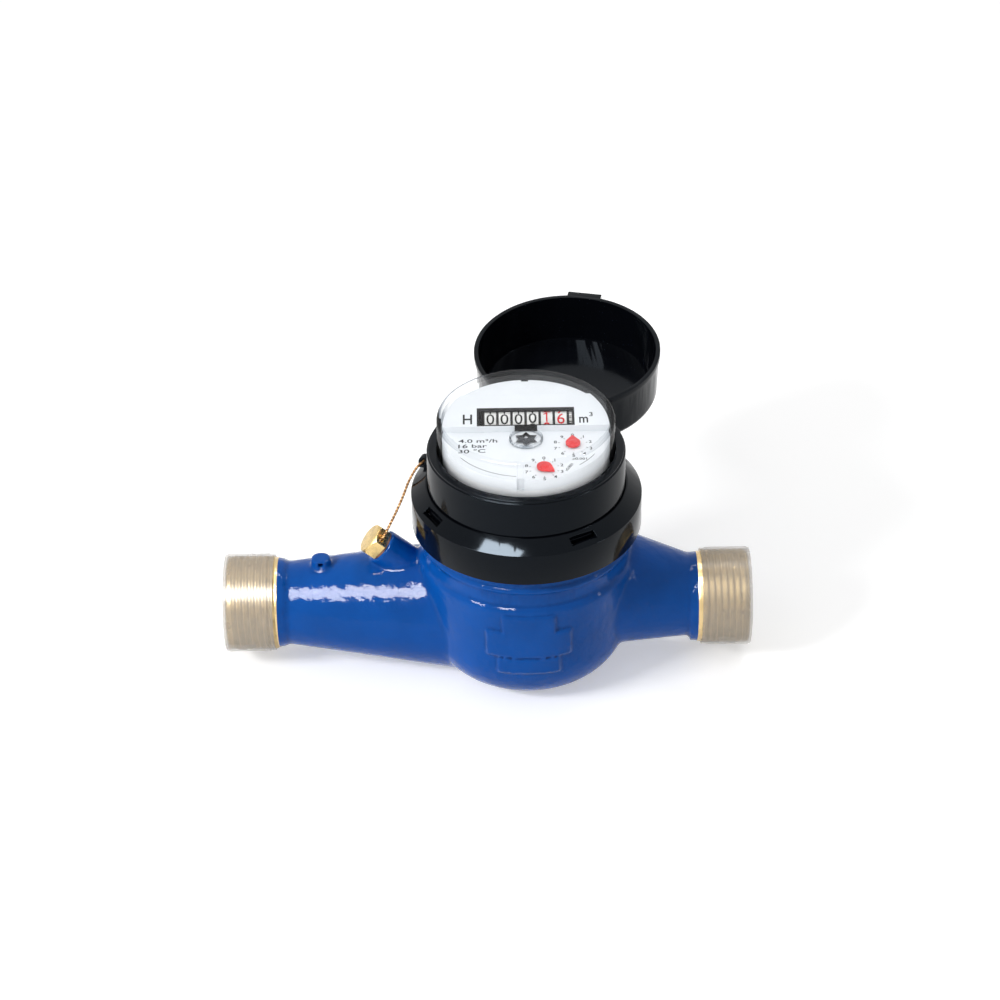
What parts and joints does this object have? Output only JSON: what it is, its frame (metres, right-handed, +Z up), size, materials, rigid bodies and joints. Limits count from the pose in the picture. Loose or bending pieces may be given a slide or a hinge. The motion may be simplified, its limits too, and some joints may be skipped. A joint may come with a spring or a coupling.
{
  "type": "water meter",
  "caption": "Inline water meter: cast bowl with threaded pipe ends, clamped dry register with number drums and pointers under a clear lens and a hinged lid.",
  "frame": {"origin": "centre of the flat foot, on the bowl's vertical axis", "axes": "+X along the pipe with the flow, towards the outlet; +Y to the back, where the lid is hinged; +Z up"},
  "size_m": [0.1919, 0.1541, 0.1049],
  "materials": {
    "blue_paint": "gloss enamel over a brass casting",
    "clear_cap": "translucent soft plastic",
    "black_plastic": "gloss black moulding",
    "brass": "turned brass",
    "steel": "drawn steel wire",
    "magnet": "sintered magnet",
    "white_plastic": "white moulding",
    "black_drum": "white number drum",
    "red_plastic": "red moulding",
    "clear_lens": "clear moulded lens",
    "rubber": "moulded rubber",
    "fibre": "fibre gasket",
    "copper": "twisted copper wire"
  },
  "bodies": {
    "meter": {"body": "blue_paint", "strainer": "white_plastic", "measuring_chamber": "white_plastic", "pivot_pin": "steel", "chamber_cover": "white_plastic", "pressure_plate": "brass", "head_gasket": "rubber", "slip_ring": "white_plastic", "head_ring": "black_plastic", "regulator_screw": "brass", "regulator_gasket": "fibre", "regulator_plug": "brass", "seal_wire": "copper", "shroud": "black_plastic", "hinge_pin": "steel", "register_base": "white_plastic", "gear_plate": "brass", "dial_plate": "white_plastic", "counter_frame": "white_plastic", "drum_shaft": "steel", "lens": "clear_lens"},
    "lid": {"lid": "black_plastic"},
    "inlet_cap": {"inlet_cap": "clear_cap"},
    "outlet_cap": {"outlet_cap": "clear_cap"},
    "impeller": {"impeller": "white_plastic", "impeller_magnet": "magnet"},
    "centre_spindle": {"centre_spindle": "steel", "follower_magnet": "magnet"},
    "star_spindle": {"star_spindle": "steel", "star_wheel": "steel"},
    "first_wheel": {"first_wheel": "white_plastic"},
    "second_wheel": {"second_wheel": "white_plastic"},
    "fast_spindle": {"fast_spindle": "white_plastic", "fast_pointer": "red_plastic"},
    "third_wheel": {"third_wheel": "white_plastic"},
    "slow_spindle": {"slow_spindle": "white_plastic", "slow_pointer": "red_plastic"},
    "drum_1": {"drum_1": "black_drum"},
    "drum_2": {"drum_2": "black_drum"},
    "drum_3": {"drum_3": "black_drum"},
    "drum_4": {"drum_4": "black_drum"},
    "drum_5": {"drum_5": "black_drum"},
    "drum_6": {"drum_6": "black_drum"}
  },
  "joints": [
    {"name": "lid_hinge", "type": "hinge", "parent": "meter", "child": "lid", "pos_m": [0.00829, 0.03739, 0.087], "axis": [-0.9763, 0.2164, 0], "range_deg": [-175, 0]},
    {"name": "inlet_cap_pull", "type": "slide", "parent": "meter", "child": "inlet_cap", "axis": [-1, 0, 0], "range_m": [0, 0.06]},
    {"name": "outlet_cap_pull", "type": "slide", "parent": "meter", "child": "outlet_cap", "axis": [1, 0, 0], "range_m": [0, 0.06]},
    {"name": "impeller_spin", "type": "hinge", "parent": "meter", "child": "impeller", "pos_m": [0, 0, 0.04], "axis": [0, 0, 1], "continuous": true},
    {"name": "centre_spindle_spin", "type": "hinge", "parent": "meter", "child": "centre_spindle", "pos_m": [0, 0, 0.08], "axis": [0, 0, 1], "continuous": true},
    {"name": "star_spindle_spin", "type": "hinge", "parent": "meter", "child": "star_spindle", "pos_m": [0, -0.00432, 0.08], "axis": [0, 0, 1], "continuous": true},
    {"name": "first_wheel_spin", "type": "hinge", "parent": "meter", "child": "first_wheel", "pos_m": [0.00075, -0.00861, 0.08], "axis": [0, 0, 1], "continuous": true},
    {"name": "second_wheel_spin", "type": "hinge", "parent": "meter", "child": "second_wheel", "pos_m": [0.00528, -0.01597, 0.08], "axis": [0, 0, 1], "continuous": true},
    {"name": "fast_spindle_spin", "type": "hinge", "parent": "meter", "child": "fast_spindle", "pos_m": [0.006, -0.02241, 0.08], "axis": [0, 0, 1], "continuous": true},
    {"name": "third_wheel_spin", "type": "hinge", "parent": "meter", "child": "third_wheel", "pos_m": [0.00838, -0.01523, 0.08], "axis": [0, 0, 1], "continuous": true},
    {"name": "slow_spindle_spin", "type": "hinge", "parent": "meter", "child": "slow_spindle", "pos_m": [0.0164, -0.008, 0.08], "axis": [0, 0, 1], "continuous": true},
    {"name": "drum_6_spin", "type": "hinge", "parent": "meter", "child": "drum_6", "pos_m": [0, 0.009, 0.0923], "axis": [1, 0, 0], "continuous": true},
    {"name": "drum_5_spin", "type": "hinge", "parent": "meter", "child": "drum_5", "pos_m": [0, 0.009, 0.0923], "axis": [1, 0, 0], "continuous": true},
    {"name": "drum_4_spin", "type": "hinge", "parent": "meter", "child": "drum_4", "pos_m": [0, 0.009, 0.0923], "axis": [1, 0, 0], "continuous": true},
    {"name": "drum_3_spin", "type": "hinge", "parent": "meter", "child": "drum_3", "pos_m": [0, 0.009, 0.0923], "axis": [1, 0, 0], "continuous": true},
    {"name": "drum_2_spin", "type": "hinge", "parent": "meter", "child": "drum_2", "pos_m": [0, 0.009, 0.0923], "axis": [1, 0, 0], "continuous": true},
    {"name": "drum_1_spin", "type": "hinge", "parent": "meter", "child": "drum_1", "pos_m": [0, 0.009, 0.0923], "axis": [1, 0, 0], "continuous": true}
  ],
  "couplings": [
    {"joint": "centre_spindle_spin", "follows": "impeller_spin", "ratio": 1},
    {"joint": "star_spindle_spin", "follows": "impeller_spin", "ratio": -1},
    {"joint": "first_wheel_spin", "follows": "impeller_spin", "ratio": -0.33333},
    {"joint": "second_wheel_spin", "follows": "impeller_spin", "ratio": 0.2},
    {"joint": "fast_spindle_spin", "follows": "impeller_spin", "ratio": -0.1},
    {"joint": "third_wheel_spin", "follows": "impeller_spin", "ratio": 0.04},
    {"joint": "slow_spindle_spin", "follows": "impeller_spin", "ratio": -0.01},
    {"joint": "drum_6_spin", "follows": "impeller_spin", "ratio": 0.001},
    {"joint": "drum_5_spin", "follows": "impeller_spin", "ratio": 0.0001},
    {"joint": "drum_4_spin", "follows": "impeller_spin", "ratio": 0.00001},
    {"joint": "drum_3_spin", "follows": "impeller_spin", "ratio": 0.000001},
    {"joint": "drum_2_spin", "follows": "impeller_spin", "ratio": 0.0000001},
    {"joint": "drum_1_spin", "follows": "impeller_spin", "ratio": 0.00000001}
  ]
}
